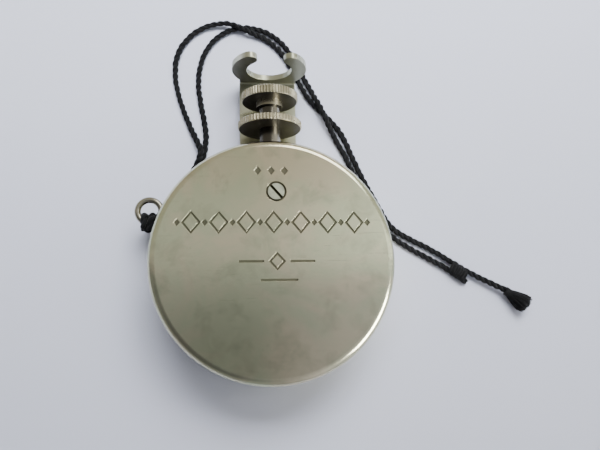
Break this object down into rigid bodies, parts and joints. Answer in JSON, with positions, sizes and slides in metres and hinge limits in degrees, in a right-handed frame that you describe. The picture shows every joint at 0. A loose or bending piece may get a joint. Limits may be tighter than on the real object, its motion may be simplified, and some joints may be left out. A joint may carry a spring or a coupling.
{
  "type": "clockwork self-timer",
  "caption": "Round nickel-plated clockwork self-timer for a camera cable release, with an open spring-driven fork, two knurled thrust discs on a stud, a lanyard eye and a black cord.",
  "frame": {"origin": "centre of the case's flat front face, which rests on the table", "axes": "+Z from the front face towards the push-on back cover, +Y from the case's centre towards the fork, +X to the right"},
  "size_m": [0.0718, 0.0681, 0.0135],
  "materials": {
    "cover_nickel": "worn nickel plate on brass, satin, with faint smudges",
    "case_nickel": "worn nickel plate on brass, satin",
    "fork_nickel": "nickel plate, polished, dulled",
    "disc_nickel": "nickel plate, straight knurled rim",
    "stud_nickel": "nickel plate, turned",
    "screw_steel": "turned steel, slotted",
    "plate_brass": "grained brass plate",
    "wheel_brass": "turned brass",
    "arbor_steel": "hardened and polished steel",
    "spring_steel": "blued spring steel",
    "cord_black": "two-ply twisted black cotton cord"
  },
  "bodies": {
    "case": {"case_shell": "case_nickel", "back_cover": "cover_nickel", "cover_screw": "screw_steel", "cover_post": "wheel_brass", "lanyard_eye": "stud_nickel", "eye_nut": "screw_steel", "main_plate": "plate_brass", "top_plate": "plate_brass", "plate_pillars": "wheel_brass", "plate_spacers": "wheel_brass", "pillar_screws": "screw_steel", "case_screws": "screw_steel", "bearing_bushes": "plate_brass", "guide_studs": "arbor_steel", "thrust_stud": "stud_nickel", "stud_nut": "screw_steel", "spring_barrel": "plate_brass", "barrel_cap": "plate_brass", "barrel_screws": "screw_steel", "mainspring": "spring_steel", "cord_strand_a": "cord_black", "cord_strand_b": "cord_black", "cord_hitch": "cord_black", "cord_whipping": "cord_black", "cord_tassel": "cord_black"},
    "fork": {"fork_bracket": "fork_nickel"},
    "first_wheel": {"first_arbor": "arbor_steel", "rack_pinion": "arbor_steel", "great_wheel": "wheel_brass", "ratchet_wheel": "arbor_steel", "click_screw": "screw_steel", "click_spring": "spring_steel"},
    "click_body": {"click": "arbor_steel"},
    "second_wheel_body": {"second_arbor": "arbor_steel", "second_pinion": "arbor_steel", "second_wheel": "wheel_brass"},
    "escape_body": {"escape_arbor": "arbor_steel", "escape_pinion": "arbor_steel", "escape_wheel": "wheel_brass"},
    "anchor_body": {"anchor_arbor": "arbor_steel", "anchor": "arbor_steel", "pallet_pins": "arbor_steel", "inertia_bob": "wheel_brass"},
    "lock_disc_body": {"lock_disc": "disc_nickel"},
    "thrust_disc_body": {"thrust_disc": "disc_nickel"}
  },
  "joints": [
    {"name": "fork_slide", "type": "slide", "parent": "case", "child": "fork", "axis": [0, 1, 0], "range_m": [0, 0.00898], "stiffness_N_per_m": 400, "springref_m": -0.01, "deforming": ["mainspring"]},
    {"name": "first_wheel_turn", "type": "hinge", "parent": "case", "child": "first_wheel", "pos_m": [-0.0056, 0, 0.0066], "axis": [0, 0, 1], "range_deg": [-1, 173]},
    {"name": "second_wheel_turn", "type": "hinge", "parent": "case", "child": "second_wheel_body", "pos_m": [0.00084, -0.0054, 0.0083], "axis": [0, 0, 1], "range_deg": [-862, 5]},
    {"name": "escape_wheel_turn", "type": "hinge", "parent": "case", "child": "escape_body", "pos_m": [0.00683, -0.00179, 0.0052], "axis": [0, 0, 1], "range_deg": [-20, 3450]},
    {"name": "anchor_rock", "type": "hinge", "parent": "case", "child": "anchor_body", "pos_m": [0.00787, 0.00269, 0.006], "axis": [0, 0, 1], "range_deg": [-5, 5]},
    {"name": "click_lift", "type": "hinge", "parent": "first_wheel", "child": "click_body", "pos_m": [-0.00272, -0.0032, 0.0075], "axis": [0, 0, 1], "range_deg": [-10, 0], "stiffness_Nm_per_rad": 0.0001, "springref_deg": 17.19, "deforming": ["click_spring"]},
    {"name": "lock_disc_turn", "type": "hinge", "parent": "case", "child": "lock_disc_body", "pos_m": [0, 0.0248, 0.0074], "axis": [0, 1, 0], "range_deg": [-360, 360]},
    {"name": "thrust_disc_turn", "type": "hinge", "parent": "case", "child": "thrust_disc_body", "pos_m": [0, 0.0298, 0.0074], "axis": [0, 1, 0], "range_deg": [-360, 360]}
  ],
  "couplings": [
    {"joint": "first_wheel_turn", "follows": "fork_slide", "rad_per_m": 333.33},
    {"joint": "second_wheel_turn", "follows": "fork_slide", "rad_per_m": -1666.7},
    {"joint": "escape_wheel_turn", "follows": "fork_slide", "rad_per_m": 6666.7}
  ]
}
